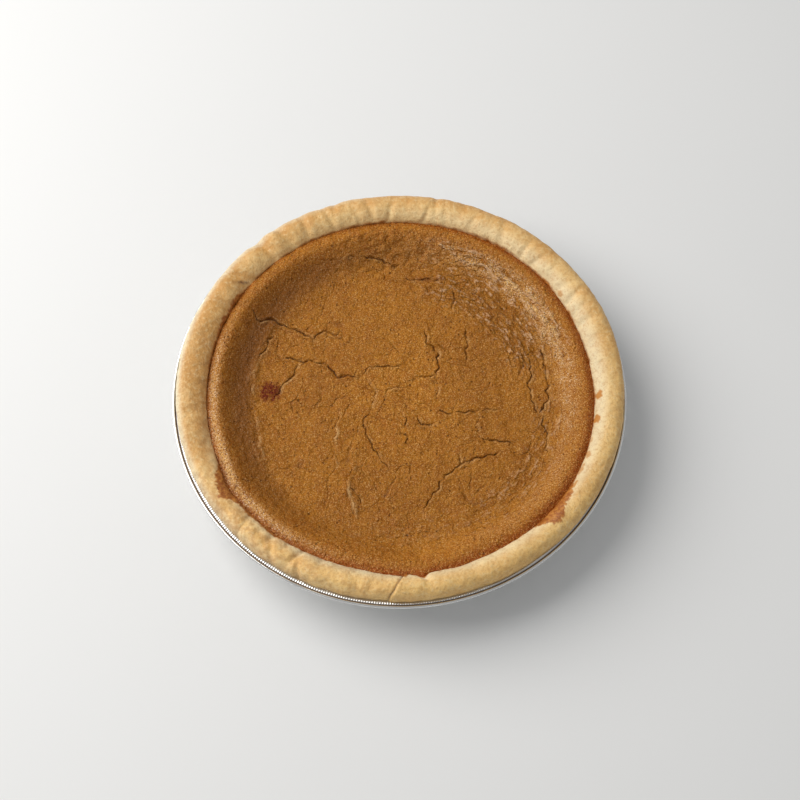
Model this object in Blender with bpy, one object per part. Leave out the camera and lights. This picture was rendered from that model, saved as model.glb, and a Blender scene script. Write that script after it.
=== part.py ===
"""Pumpkin pie baked in its round foil tin.

Three solids: the thin tin with its rolled edge, the pastry shell with its rounded rim, and the custard
filling, which stands puffed at the rim, sinks towards the middle and is cracked all over.
Metres, +Z up, with the origin at the middle of the tin's underside.
"""

import math
import random

import bmesh
import bpy
from mathutils import Vector, noise
from mathutils.geometry import delaunay_2d_cdt

MM = 0.001
GAP = 0.3 * MM

# Tin: a standard nine-inch pie tin
TIN_RADIUS = 122 * MM
TIN_DEPTH = 30 * MM
TIN_SHEET = 0.5 * MM
TIN_FLOOR_RADIUS = 88 * MM
TIN_CORNER = 3.2 * MM
TIN_WALL_FOOT_RADIUS = 91 * MM
TIN_WALL_TOP_RADIUS = 110 * MM
TIN_FLANGE_BEND = 1.4 * MM
BEAD_RADIUS = 0.8 * MM
BEAD_STEPS = 8
TIN_STEPS = 72

# Pastry shell
SHELL_FLOOR = 4 * MM
SHELL_WALL = 6 * MM
ROLL_RADIUS = 7 * MM
ROLL_CENTRE_RADIUS = 112.3 * MM
ROLL_CENTRE_HEIGHT = 33.2 * MM
ROLL_INNER_ANGLE = math.radians(131)
ROLL_STEPS = 8
CONTACT_RADIUS = 104 * MM
CONTACT_HEIGHT = 32.7 * MM
CRUST_STEPS = 120

# How far the rim stands out past a true ring: everywhere, towards +X, towards +Y, and along X more than along Y
RIM_OUT = (0.45 * MM, 0.5 * MM, 0.9 * MM, 0.35 * MM)
RIM_RISE_FAR = 0.5 * MM

# Pinched valleys across the pastry rim: direction in degrees, half width in degrees, depth in millimetres
VALLEYS = [
    (58, 2.0, 0.7),
    (66, 3.0, 0.9),
    (72, 2.0, 0.4),
    (81, 2.2, 1.0),
    (92, 2.0, 0.7),
    (97, 2.4, 0.8),
    (109, 2.2, 1.1),
    (118, 2.0, 0.8),
    (124, 1.8, 0.9),
    (133, 2.0, 1.1),
    (144, 2.4, 1.2),
    (165, 3.0, 0.5),
    (224, 2.0, 0.9),
    (234, 2.2, 1.1),
    (243, 2.2, 1.6),
    (276, 2.0, 1.5),
    (345, 3.0, 0.5),
]
# Places where the filling reaches further out or less far: direction, half width, millimetres
CONTACT_WAVES = [
    (14, 18, -0.6),
    (60, 30, 0.4),
    (178, 24, -0.8),
    (214, 5, 1.4),
    (224, 22, 1.4),
    (273, 9, 1.9),
    (276.5, 2, 1.6),
    (285, 5, 0.8),
    (325, 38, 1.8),
]
# The pastry's overlap: its edge runs slantwise from the outer side to the inner side
SEAM_OUTER = math.radians(267.5)
SEAM_INNER = math.radians(271)
SEAM_STEP = 0.9 * MM
SEAM_FADE = math.radians(14)

# Filling: the turned section of its top, as radius and height
TOP_SECTION = [
    (0, 25.8),
    (45, 25.6),
    (70, 24.9),
    (80, 24.9),
    (84, 25.9),
    (88, 28.2),
    (92, 31.2),
    (96, 33.7),
    (99.5, 34.6),
    (102.5, 34.0),
    (104, 33.2),
    (110, 36.0),
]
TOP_WAVE = 0.7 * MM
TOP_RINGS = [98.8 * MM, 94.6 * MM, 90.4 * MM, 86.4 * MM, 82.4 * MM]
TOP_RING_POINTS = 60
TOP_GRID = 8.5 * MM
TOP_GRID_RADIUS = 78.5 * MM

# Cracks in the top, each through a few points in millimetres
CRACK_WIDTH = 2 * MM
CRACK_DEPTH = 1.6 * MM
CRACK_LEG = 6 * MM
CRACK_MEANDER = 0.6 * MM
CRACKS = [
    [(-81, 49), (-68, 45), (-53, 38), (-48, 33)],
    [(-69, 37), (-77, 21)],
    [(-63, 22), (-50, 20), (-40, 18.5), (-33, 11), (-20, 10)],
    [(-55, 20), (-60, 10), (-68, -1)],
    [(-20, 10), (-17, 16), (2, 17)],
    [(-20, 10), (-14, 3), (-15, -9), (-19, -19), (-16, -28), (-6, -44)],
    [(14, 41), (15.5, 31), (22, 24), (20, 12), (10, 11)],
    [(37, 40), (37, 20)],
    [(30, 65), (28, 51)],
    [(57, -9), (38, -10), (20, -10.5)],
    [(1, -10), (4, -22)],
    [(77, 30), (81, 4), (76, -11), (79, -27)],
    [(42, -16), (46, -27), (61, -29)],
    [(53, -34), (33, -40), (20, -55), (13, -66)],
    [(-24, -43), (-28, -54), (-23, -70)],
]
SEED = 7


def clear_scene():
    for old in list(bpy.data.objects):
        bpy.data.objects.remove(old, do_unlink=True)


def material(name, colour, roughness, metallic=0.0):
    made = bpy.data.materials.new(name)
    made.use_nodes = True
    shader = made.node_tree.nodes["Principled BSDF"]
    shader.inputs["Base Color"].default_value = (*colour, 1.0)
    shader.inputs["Roughness"].default_value = roughness
    shader.inputs["Metallic"].default_value = metallic
    return made


def add_object(name, mesh_builder, look, sharp_degrees):
    """One named object from a finished bmesh."""
    bmesh.ops.recalc_face_normals(mesh_builder, faces=mesh_builder.faces)
    mesh = bpy.data.meshes.new(name)
    mesh_builder.to_mesh(mesh)
    mesh_builder.free()
    mesh.materials.append(look)
    mesh.shade_smooth()
    mesh.set_sharp_from_angle(angle=math.radians(sharp_degrees))
    made = bpy.data.objects.new(name, mesh)
    bpy.context.scene.collection.objects.link(made)
    return made


def turned(sections):
    """A closed solid from one section per direction. Each section runs from the axis and back to it."""
    builder = bmesh.new()
    count = len(sections)
    first = builder.verts.new((0, 0, sections[0][0][1]))
    last = builder.verts.new((0, 0, sections[0][-1][1]))
    rings = []
    for step, section in enumerate(sections):
        angle = math.tau * step / count
        along = math.cos(angle)
        across = math.sin(angle)
        rings.append([builder.verts.new((r * along, r * across, z)) for r, z in section[1:-1]])
    for step in range(count):
        here = rings[step]
        after = rings[(step + 1) % count]
        builder.faces.new((first, here[0], after[0]))
        builder.faces.new((last, after[-1], here[-1]))
        for row in range(len(here) - 1):
            builder.faces.new((here[row], here[row + 1], after[row + 1], after[row]))
    bmesh.ops.triangulate(builder, faces=builder.faces)
    return builder


def turn_between(one, other):
    """The signed turn from one direction to another, between half a turn each way."""
    return (one - other + math.pi) % math.tau - math.pi


def bell(angle, centre_degrees, half_width_degrees):
    away = turn_between(angle, math.radians(centre_degrees)) / math.radians(half_width_degrees)
    return math.exp(-away * away)


def smooth_step(value):
    value = min(1.0, max(0.0, value))
    return value * value * (3 - 2 * value)


def contact_radius(angle):
    """Where the filling meets the pastry, in this direction."""
    waves = sum(bell(angle, centre, width) * size for centre, width, size in CONTACT_WAVES)
    return CONTACT_RADIUS + waves * MM


def contact_height(angle):
    return CONTACT_HEIGHT + 0.45 * (contact_radius(angle) - CONTACT_RADIUS)


def tin_wall_radius(height):
    """Inner face of the tin's sloping wall."""
    low = TIN_CORNER
    high = TIN_DEPTH - TIN_FLANGE_BEND
    share = (height - low) / (high - low)
    return TIN_WALL_FOOT_RADIUS + share * (TIN_WALL_TOP_RADIUS - TIN_WALL_FOOT_RADIUS)


def tin_section():
    """The sheet, out along its underside, round the bead and back along its top."""
    slant = 1.3 * TIN_SHEET
    wall_top = TIN_DEPTH - TIN_FLANGE_BEND
    under = [
        (0, 0),
        (TIN_FLOOR_RADIUS, 0),
        (TIN_FLOOR_RADIUS + 2.2 * MM, 0.6 * MM),
        (TIN_WALL_FOOT_RADIUS + slant, TIN_CORNER),
        (TIN_WALL_TOP_RADIUS + slant, wall_top),
        (TIN_WALL_TOP_RADIUS + 1.6 * MM, TIN_DEPTH - TIN_SHEET),
    ]
    over = [
        (TIN_WALL_TOP_RADIUS + 1.2 * MM, TIN_DEPTH),
        (TIN_WALL_TOP_RADIUS, wall_top),
        (TIN_WALL_FOOT_RADIUS, TIN_CORNER),
        (TIN_FLOOR_RADIUS + 1.6 * MM, 1.1 * MM + TIN_SHEET / 2),
        (TIN_FLOOR_RADIUS - 0.4 * MM, TIN_SHEET),
        (0, TIN_SHEET),
    ]
    centre_radius = TIN_RADIUS - BEAD_RADIUS
    centre_height = TIN_DEPTH + 0.2 * MM
    from_angle = math.asin((TIN_DEPTH - TIN_SHEET - centre_height) / BEAD_RADIUS)
    bead = []
    start = -math.pi - from_angle
    stop = math.pi - math.asin((TIN_DEPTH - centre_height) / BEAD_RADIUS)
    for step in range(BEAD_STEPS + 1):
        angle = start + (stop - start) * step / BEAD_STEPS
        bead.append((centre_radius + BEAD_RADIUS * math.cos(angle), centre_height + BEAD_RADIUS * math.sin(angle)))
    return under + bead + over


def rim_relief(angle, share):
    """How far the pastry rim stands up or sinks here. Share runs from 0 at the filling to 1 at the outer foot."""
    valleys = sum(bell(angle, centre, width) * depth for centre, width, depth in VALLEYS) * MM
    reach = math.sin(math.pi * min(1.0, 0.18 + 0.8 * share)) ** 0.5
    around = Vector((math.cos(angle) * 4.5, math.sin(angle) * 4.5, 2.3 * share))
    uneven = 0.55 * MM * noise.noise(around)
    seam = SEAM_INNER + (SEAM_OUTER - SEAM_INNER) * share
    past = turn_between(angle, seam)
    overlap = SEAM_STEP * smooth_step(past / math.radians(1.5)) * (1 - smooth_step(past / SEAM_FADE))
    rise = RIM_RISE_FAR * bell(angle, 90, 55)
    return (rise + uneven - valleys) * reach + overlap * math.sin(math.pi * share) ** 0.5


def crust_section(angle):
    """The pastry, out along its underside, over the rounded rim and back along its inside."""
    rest = TIN_DEPTH + GAP
    slant = 1.3 * GAP
    wall_top = TIN_DEPTH - TIN_FLANGE_BEND
    everywhere, along_x, along_y, oval = RIM_OUT
    out = everywhere + along_x * math.cos(angle) + along_y * math.sin(angle) + oval * math.cos(2 * angle)
    under = [
        (0, TIN_SHEET + GAP),
        (TIN_FLOOR_RADIUS - 0.8 * MM, TIN_SHEET + GAP),
        (TIN_WALL_FOOT_RADIUS - 1.7 * MM, TIN_CORNER - 0.9 * MM),
        (tin_wall_radius(5 * MM) - slant, 5 * MM),
        (TIN_WALL_TOP_RADIUS - slant, wall_top + 0.1 * MM),
        (TIN_WALL_TOP_RADIUS + 0.9 * MM, rest),
    ]
    foot_angle = math.asin((rest - ROLL_CENTRE_HEIGHT) / ROLL_RADIUS)
    outer = []
    for step in range(ROLL_STEPS + 1):
        share = 1 - 0.8 * step / ROLL_STEPS
        turn = foot_angle + (ROLL_INNER_ANGLE - foot_angle) * step / ROLL_STEPS
        size = ROLL_RADIUS + (rim_relief(angle, share) if step else 0)
        radius = ROLL_CENTRE_RADIUS + out * share + size * math.cos(turn)
        outer.append((radius, ROLL_CENTRE_HEIGHT + size * math.sin(turn)))
    meet = contact_radius(angle)
    meet_height = contact_height(angle)
    top_radius, top_height = outer[-1]
    inner_slope = (0.75 * meet + 0.25 * top_radius, meet_height + 0.5 * (top_height - meet_height))
    inside = [
        inner_slope,
        (meet, meet_height),
        (TIN_WALL_TOP_RADIUS - SHELL_WALL - 0.4 * MM, TIN_DEPTH + 0.2 * MM),
        (tin_wall_radius(7 * MM) - SHELL_WALL, 7 * MM),
        (tin_wall_radius(5 * MM) - SHELL_WALL - 2.2 * MM, TIN_SHEET + GAP + SHELL_FLOOR),
        (0, TIN_SHEET + GAP + SHELL_FLOOR),
    ]
    return under + outer + inside


def turned_height(radius):
    """Height of the filling's top before its waves and cracks."""
    for (r0, z0), (r1, z1) in zip(TOP_SECTION, TOP_SECTION[1:]):
        if radius <= r1 * MM:
            return (z0 + (z1 - z0) * (radius / MM - r0) / (r1 - r0)) * MM
    return TOP_SECTION[-1][1] * MM


def wandering(points, rng):
    """The crack's middle line: its legs cut short and pushed a little to each side."""
    line = [Vector(points[0]) * MM]
    for one, other in zip(points, points[1:]):
        start = Vector(one) * MM
        leg = Vector(other) * MM - start
        side = Vector((-leg.y, leg.x)).normalized()
        pieces = max(1, round(leg.length / CRACK_LEG))
        for piece in range(1, pieces + 1):
            push = 0 if piece == pieces else rng.uniform(-CRACK_MEANDER, CRACK_MEANDER)
            line.append(start + leg * (piece / pieces) + side * push)
    return line


def crack_legs(lines):
    """Straight pieces of every crack, each with the crack's half width at its two ends."""
    legs = []
    for line in lines:
        last = len(line) - 1
        widths = [CRACK_WIDTH / 2 * (0.35 if place in (0, last) else 1.0) for place in range(last + 1)]
        for place in range(last):
            legs.append((line[place], line[place + 1], widths[place], widths[place + 1]))
    return legs


def crack_share(spot, legs):
    """1 on a crack's middle line, 0 at its edge and beyond."""
    best = 0.0
    for start, end, start_width, end_width in legs:
        leg = end - start
        share = min(1.0, max(0.0, (spot - start).dot(leg) / leg.length_squared))
        width = start_width + (end_width - start_width) * share
        away = (spot - start - leg * share).length
        best = max(best, (1 - away / width) * width / (CRACK_WIDTH / 2))
    return best


def top_height(spot, legs):
    """Height of the filling's top, with its waves and cracks."""
    radius = spot.length
    fade = smooth_step((CONTACT_RADIUS - radius) / (8 * MM))
    waves = noise.noise(Vector((spot.x / (26 * MM), spot.y / (26 * MM), 3.1)))
    waves += 0.5 * noise.noise(Vector((spot.x / (11 * MM), spot.y / (11 * MM), 8.7)))
    return turned_height(radius) + fade * TOP_WAVE * waves - CRACK_DEPTH * crack_share(spot, legs)


def top_points(legs, rng):
    """Loose points that carry the filling's shape between its cracks."""
    spots = []
    for row, radius in enumerate(TOP_RINGS):
        for step in range(TOP_RING_POINTS):
            angle = math.tau * (step + 0.5 * (row % 2)) / TOP_RING_POINTS
            spots.append(Vector((radius * math.cos(angle), radius * math.sin(angle))))
    rows = int(TOP_GRID_RADIUS / TOP_GRID / math.cos(math.pi / 6)) + 1
    for row in range(-rows, rows + 1):
        for column in range(-rows - 1, rows + 2):
            jitter = Vector((rng.uniform(-1, 1), rng.uniform(-1, 1))) * 0.15 * TOP_GRID
            spot = Vector((column + 0.5 * (row % 2), row * math.cos(math.pi / 6))) * TOP_GRID + jitter
            if spot.length < TOP_GRID_RADIUS:
                spots.append(spot)
    clear = 1.6 * CRACK_WIDTH
    kept = []
    for spot in spots:
        ways = []
        for start, end, _, _ in legs:
            leg = end - start
            share = min(1.0, max(0.0, (spot - start).dot(leg) / leg.length_squared))
            ways.append((spot - start - leg * share).length)
        if min(ways) > clear:
            kept.append(spot)
    return kept


def side_lines(line):
    """The two edges of a crack, which meet its middle line at both tips."""
    last = len(line) - 1
    sides = []
    for hand in (-1, 1):
        side = [line[0]]
        for place in range(1, last):
            along = (line[place + 1] - line[place - 1]).normalized()
            side.append(line[place] + Vector((-along.y, along.x)) * hand * CRACK_WIDTH / 2)
        side.append(line[last])
        sides.append(side)
    return sides


def filling_builder():
    """The filling: a triangulated top that follows every crack, a side along the pastry and a flat bottom."""
    rng = random.Random(SEED)
    lines = [wandering(points, rng) for points in CRACKS]
    legs = crack_legs(lines)
    angles = [math.tau * step / CRUST_STEPS for step in range(CRUST_STEPS)]
    edge = []
    for angle in angles:
        radius = contact_radius(angle) - GAP
        edge.append(Vector((radius * math.cos(angle), radius * math.sin(angle))))
    spots = list(edge)
    edges = [(step, (step + 1) % CRUST_STEPS) for step in range(CRUST_STEPS)]
    for line in lines:
        chains = [line] if len(line) < 3 else [line, *side_lines(line)]
        for chain in chains:
            start = len(spots)
            spots.extend(chain)
            edges.extend((start + step, start + step + 1) for step in range(len(chain) - 1))
    spots.extend(top_points(legs, rng))
    flat, _, faces, origins, _, _ = delaunay_2d_cdt(spots, edges, [], 1, 0.02 * MM)

    builder = bmesh.new()
    verts = []
    border = {}
    for index, spot in enumerate(flat):
        on_edge = [source for source in origins[index] if source < CRUST_STEPS]
        if on_edge:
            border[on_edge[0]] = index
            height = contact_height(angles[on_edge[0]]) + 0.3 * MM
        else:
            height = top_height(spot, legs)
        verts.append(builder.verts.new((spot.x, spot.y, height)))
    for face in faces:
        builder.faces.new([verts[index] for index in face])

    shell_floor = TIN_SHEET + GAP + SHELL_FLOOR
    side_section = [
        (TIN_WALL_TOP_RADIUS - SHELL_WALL - 0.8 * MM, TIN_DEPTH + 0.2 * MM),
        (tin_wall_radius(7 * MM) - SHELL_WALL - 0.4 * MM, 7.1 * MM),
        (tin_wall_radius(5 * MM) - SHELL_WALL - 2.5 * MM, shell_floor + GAP),
    ]
    ring = [verts[border[step]] for step in range(CRUST_STEPS)]
    for radius, height in side_section:
        below = [builder.verts.new((radius * math.cos(a), radius * math.sin(a), height)) for a in angles]
        for step in range(CRUST_STEPS):
            after = (step + 1) % CRUST_STEPS
            builder.faces.new((ring[step], below[step], below[after], ring[after]))
        ring = below
    bottom = builder.verts.new((0, 0, shell_floor + GAP))
    for step in range(CRUST_STEPS):
        builder.faces.new((ring[(step + 1) % CRUST_STEPS], ring[step], bottom))
    bmesh.ops.triangulate(builder, faces=builder.faces)
    return builder


def build():
    clear_scene()
    foil = material("foil", (0.78, 0.78, 0.77), 0.32, 1.0)
    pastry = material("pastry", (0.6, 0.36, 0.15), 0.62)
    custard = material("custard", (0.35, 0.15, 0.035), 0.45)
    add_object("tin", turned([tin_section()] * TIN_STEPS), foil, 40)
    sections = [crust_section(math.tau * step / CRUST_STEPS) for step in range(CRUST_STEPS)]
    add_object("crust", turned(sections), pastry, 60)
    add_object("filling", filling_builder(), custard, 60)


build()
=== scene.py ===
"""A pumpkin pie in its foil tin: a ribbed tin, a baked pastry rim and a cracked custard filling."""

import math

import bpy
import numpy as np
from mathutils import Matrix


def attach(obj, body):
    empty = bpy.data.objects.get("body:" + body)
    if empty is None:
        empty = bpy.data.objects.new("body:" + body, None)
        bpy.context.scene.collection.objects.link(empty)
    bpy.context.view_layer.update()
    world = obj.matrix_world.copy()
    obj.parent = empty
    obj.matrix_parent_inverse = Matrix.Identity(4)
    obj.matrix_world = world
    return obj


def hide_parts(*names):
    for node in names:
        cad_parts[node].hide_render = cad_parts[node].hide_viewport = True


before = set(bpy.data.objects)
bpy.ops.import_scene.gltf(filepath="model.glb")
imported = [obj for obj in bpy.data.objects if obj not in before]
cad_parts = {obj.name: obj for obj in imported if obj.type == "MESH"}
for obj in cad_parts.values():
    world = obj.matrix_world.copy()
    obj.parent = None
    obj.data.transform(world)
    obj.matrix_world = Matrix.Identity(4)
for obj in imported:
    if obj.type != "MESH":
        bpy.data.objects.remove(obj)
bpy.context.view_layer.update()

MM = 0.001

# Tin, in millimetres. Its solids are turned, and TIN_HUB is where their flat rows of points begin.
TIN_RADIUS = 122.0
TIN_DEPTH = 30.0
TIN_SHEET = 0.5
TIN_SLANT = 1.3 * TIN_SHEET
TIN_HUB = 4.0
TIN_FLOOR_RADIUS = 88.0
TIN_CORNER = 3.2
TIN_WALL_FOOT_RADIUS = 91.0
TIN_WALL_TOP_RADIUS = 110.0
TIN_FLANGE_BEND = 1.4
BEAD_RADIUS = 0.8
BEAD_RISE = 0.2
RIBS = 570
RIB_STEPS = 4
RIB_DEPTH = 0.2
RIBS_IN_TWO_PLEATS = 10
WALL_PLEAT = 0.9

# Pastry, in millimetres. GAP keeps it clear of the tin and of the filling.
GAP = 0.3
SHELL_FLOOR = 4.0
SHELL_FLOOR_TOP = TIN_SHEET + GAP + SHELL_FLOOR
SHELL_WALL = 6.0
SHELL_HUB = 6.0
SHELL_FOOT = 5.0
SHELL_BEND = 7.0
ROLL_RADIUS = 7.0
ROLL_CENTRE_RADIUS = 112.3
ROLL_CENTRE_HEIGHT = 33.2
ROLL_ARC = 26
CONTACT_RADIUS = 104.0
CONTACT_HEIGHT = 32.7
CONTACT_SLOPE = 0.45
# How far the rim stands outside a true circle: all round, along x, along y, and as an oval
RIM_OUT = (0.45, 0.5, 0.9, 0.35)
RIM_RISE_FAR = 0.5
LEFT_LEAN = 1.8
# Powers of the rim's rounding, where 2 is a true ellipse and more is fuller
OUTER_FULLNESS = 2.35
INNER_FULLNESS = 1.75
CRUST_COLUMNS = 1176
OUTER_ROWS = 24
INNER_ROWS = 22
# Where the rim's top lies across it, from 0 at the filling to 1 at the tin
TOP_SHARE = 0.46

# Pinched valleys across the rim: direction and half width in degrees, depth in millimetres, and the place
# across the rim. A depth below 0 is a lump.
VALLEYS = [
    (24.5, 1.0, 0.5, 0.2),
    (34, 1.0, 0.5, 0.25),
    (39.5, 1.2, 0.4, 0.3),
    (45.3, 1.0, 0.8, 0.2),
    (50, 1.0, 0.7, 0.2),
    (58, 1.4, 0.7, 0.3),
    (65.5, 3.0, 0.9, 0.95),
    (68, 1.0, 0.5, 0.2),
    (72, 1.6, 0.4, 0.6),
    (76, 1.0, 0.4, 0.15),
    (79.5, 0.9, 0.6, 0.55),
    (82.5, 0.9, 0.8, 0.1),
    (88.5, 2.0, 0.3, 0.5),
    (93, 0.9, 0.8, 0.2),
    (96, 3.0, 0.8, 0.95),
    (98.5, 1.0, 0.7, 0.3),
    (102.5, 0.9, 0.5, 0.25),
    (108.5, 1.0, 0.5, 0.6),
    (110.5, 1.0, 1.0, 0.25),
    (118.5, 1.2, 1.0, 0.3),
    (124.5, 1.3, 1.4, 0.35),
    (128, 1.3, -0.5, 0.45),
    (131.5, 1.8, 2.1, 0.45),
    (136, 1.6, -0.4, 0.3),
    (143, 1.8, 1.9, 0.3),
    (149, 1.4, -0.4, 0.4),
    (153.5, 1.1, 0.9, 0.25),
    (165, 2.5, 0.5, 0.3),
    (188, 2.0, 0.5, 0.25),
    (199, 2.0, 0.4, 0.25),
    (207, 1.2, 0.4, 0.7),
    (219, 1.2, 0.5, 0.6),
    (224, 0.9, 0.9, 0.12),
    (225.5, 1.0, 0.5, 0.8),
    (230, 0.9, 0.6, 0.25),
    (233, 1.0, 0.9, 0.3),
    (235.5, 0.9, 0.8, 0.6),
    (238, 0.9, 0.5, 0.2),
    (241.6, 0.8, 1.0, 0.35),
    (243.6, 0.8, 1.3, 0.7),
    (247, 1.4, -0.5, 0.45),
    (248, 1.2, 0.5, 0.3),
    (253, 2.0, 0.4, 0.5),
    (259, 1.2, 0.5, 0.65),
    (276.3, 1.0, 1.6, 0.12),
    (290, 2.5, 0.4, 0.5),
    (306, 3.0, 0.6, 0.75),
    (334, 1.6, 0.4, 0.35),
    (345, 3.0, 0.4, 0.3),
    (4, 1.6, 0.4, 0.3),
    (14, 1.4, 0.4, 0.3),
    (20.5, 1.2, 0.9, 0.2),
    (29, 1.0, 0.9, 0.22),
]
VALLEY_SCALE = 1.35
VALLEY_REACH = 0.32

# Browner streaks across the outer half of the rim: direction and half width in degrees, strength
# They follow the valleys: partly browning, partly painted shade in the valleys
STREAKS = [
    (58, 2.0, 0.45),
    (66, 1.6, 0.4),
    (72, 1.5, 0.6),
    (79.5, 0.8, 0.8),
    (88.5, 1.8, 0.5),
    (98.5, 1.2, 0.6),
    (109, 2.6, 0.65),
    (116.5, 1.2, 0.6),
    (124, 1.5, 0.9),
    (131.5, 1.8, 1.2),
    (143, 1.8, 0.9),
    (234.5, 1.2, 0.7),
    (243, 0.7, 0.8),
    (224, 0.8, 0.5),
    (259, 1.5, 0.3),
]
STREAK_FROM = 0.15
STREAK_TO = 0.5

# Touches of colour that come in between two places across the rim: strength, direction and half width in
# degrees, and the two places
# The touch at 180 degrees is painted shade on the left side of the rim's top, which faces away from the
# light; the one at 78 degrees is browning
BROWN_SIDES = [
    (0.4, 78, 32, 0.3, 0.75),
    (0.3, 180, 60, 0.8, 0.6),
]
# Painted highlight: paler cream at the left outer side and the right inner side, which face the light, and
# painted light on the shaded near inner side
LIT_CREAM_SIDES = [
    (0.9, 165, 62, 0.48, 0.7),
    (0.6, 255, 45, 0.4, 0.12),
    (0.55, 5, 80, 0.45, 0.2),
]
# Painted bounce light: a lighter golden colour on the near and right outer flanks and the far inner side
BOUNCE_GOLDEN_SIDES = [
    (1.0, 310, 75, 0.3, 0.6),
    (0.6, 95, 60, 0.65, 0.25),
]
# Brown bands along the rim: strength, direction and half width in degrees, place across the rim, half width
# across it
# The band at 180 degrees is partly painted shade on the left inner slope, which faces away from the light,
# and partly browning; the other two brown the left inner side and the left middle
BROWN_BANDS = [
    (0.7, 180, 50, 0.22, 0.22),
    (0.9, 170, 22, 0.14, 0.2),
    (0.3, 150, 60, 0.45, 0.25),
]

# Where the filling meets the pastry further out than CONTACT_RADIUS: direction and half width in degrees,
# distance in millimetres
CONTACT_WAVES = [
    (14, 18, -0.6),
    (60, 30, 0.4),
    (178, 24, -0.8),
    (214, 5, 1.4),
    (224, 22, 1.4),
    (273, 9, 1.9),
    (276.5, 2, 1.6),
    (285, 5, 0.8),
    (325, 38, 1.8),
]

# The overlap of the pastry's two ends: its direction at the tin and at the filling, the height of its step,
# and how far past it the step fades, in millimetres
SEAM_OUTER = math.radians(267.3)
SEAM_INNER = math.radians(271)
SEAM_STEP = 1.0
SEAM_FADE = 26.0

# The scorched, slanting mark on the rim: direction, the radius at which its slant turns, the radius of its
# middle, and its half width and half length in millimetres
SCORCH_DIRECTION = math.radians(143.6)
SCORCH_TURN_RADIUS = 107
SCORCH_RADIUS = 107.3
SCORCH_SIZE = (1.9, 2.6)

# Filling that ran out over the pastry and baked on: direction and half width in degrees, reach in
# millimetres
SPILLS = [
    (210.5, 3.2, 4.6),
    (215, 2.8, 5.8),
    (222, 6, 1.6),
    (233, 7, 1.0),
    (149, 5, 1.3),
    (159, 6, 1.0),
    (277, 1.2, 1.0),
    (271.5, 0.9, 2.0),
    (316.8, 4.0, 8.2),
    (324, 3.4, 3.8),
]
# Splashes on the pastry: direction in degrees, radius, half length along the rim, half width, strength
SPLASHES = [
    (328, 107.2, 2.6, 1.3, 0.8),
    (333, 106.4, 3.4, 1.2, 0.7),
    (338, 106.8, 2.4, 1.4, 0.7),
    (343, 105.6, 2.5, 1.0, 0.5),
    (349.5, 106.4, 2.9, 1.7, 1.0),
    (357, 106.6, 2.5, 1.8, 1.0),
    (33, 105.3, 2.0, 1.2, 0.6),
]

# Filling, in millimetres: how high its top stands at each distance inside its edge
TOP_SECTION = [
    (0, 32.6),
    (0.8, 33.0),
    (2.5, 33.9),
    (4.5, 34.7),
    (6.5, 35.0),
    (9, 33.9),
    (12, 31.7),
    (16, 28.5),
    (20, 25.9),
    (24, 24.9),
    (34, 24.9),
    (59, 25.6),
    (110, 25.8),
]
TOP_SPREAD = 0.9
FILLING_CELLS = 290

# Patches of the skin that are wrinkled or lumpy: where each comes in and goes out, first round the pie in
# degrees, then away from its middle in millimetres
PATCHES = {
    "far_right": ((2, 22), (88, 66), (56, 68), (99, 93)),
    "near_right": ((-75, -50), (6, -12), (70, 78), (96, 88)),
    "near_side": ((-125, -105), (-60, -75), (66, 74), (94, 86)),
    "left_foot": ((135, 150), (200, 190), (74, 80), (96, 88)),
    "lumps": ((70, 80), (116, 102), (72, 80), (101, 95)),
}

# The burnt spot at the left and the redder one at the far side: place and half sizes
BURNT_PLACE = (-70, 1.5)
BURNT_SIZE = (5.0, 5.4)
RED_PLACE = (14, 72)
RED_SIZE = (10, 1.8)

# Faint plates of the skin: seed and number of the places drawn for them, how far from the middle they are
# drawn and kept, and how far a plate may stand up or lie low
PLATE_SEED = 5
PLATE_COUNT = 130
PLATE_DRAWN = 90
PLATE_KEPT = 88
PLATE_LIFT = 0.24

# The direction away from the key light, on whose side each crack's edge faces the light and gets a painted
# highlight, and the length of a crack's short legs
LIT_EDGE_SIDE = (0.93, -0.37)
CRACK_LEG = 0.7

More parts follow.
